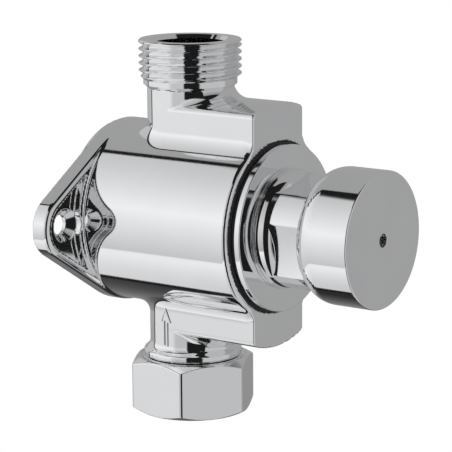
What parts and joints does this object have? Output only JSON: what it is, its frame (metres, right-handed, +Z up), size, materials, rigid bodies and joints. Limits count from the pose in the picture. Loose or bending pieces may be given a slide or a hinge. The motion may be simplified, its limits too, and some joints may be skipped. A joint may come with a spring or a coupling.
{
  "type": "push timed tap",
  "caption": "In-line push-button timed tap with a captive union nut inlet, threaded outlet and a wall flange with two screw ears.",
  "frame": {"origin": "on the wall face, on the axis shared by the barrel, the bonnet and the button", "axes": "+Z up along the pipes towards the outlet, -Y out of the wall towards the button, +X to the right when the tap is seen from the front"},
  "size_m": [0.076, 0.0812, 0.0973],
  "materials": {
    "chrome": "polished chrome on brass",
    "brass": "machined brass",
    "stainless": "stainless steel",
    "rubber": "black seal rubber",
    "acetal": "white acetal",
    "fibre": "red-brown fibre gasket"
  },
  "bodies": {
    "tap_body": {"valve_body": "chrome", "bonnet": "chrome", "bonnet_o_ring": "rubber", "stem_seal": "rubber", "spring_plate": "brass", "seat_bush": "brass", "seat_o_ring": "rubber", "timing_cylinder": "acetal", "nut_retaining_ring": "stainless", "inlet_gasket": "fibre", "inlet_strainer": "stainless", "return_spring": "stainless"},
    "button": {"push_button": "chrome", "adjusting_screw": "stainless", "spindle": "stainless", "spring_cup": "stainless", "spindle_clip": "stainless", "seat_washer": "rubber", "washer_cup": "brass", "spacer_sleeve": "brass", "piston": "acetal", "piston_seal": "rubber", "timing_needle": "stainless", "piston_nut": "brass"},
    "inlet_nut": {"union_nut": "chrome"}
  },
  "joints": [
    {"name": "button_slide", "type": "slide", "parent": "tap_body", "child": "button", "axis": [0, 1, 0], "range_m": [0, 0.0065], "stiffness_N_per_m": 900, "springref_m": -0.02, "deforming": ["return_spring"]},
    {"name": "nut_turn", "type": "hinge", "parent": "tap_body", "child": "inlet_nut", "pos_m": [0, -0.023, -0.0439], "axis": [0, 0, 1], "continuous": true}
  ]
}
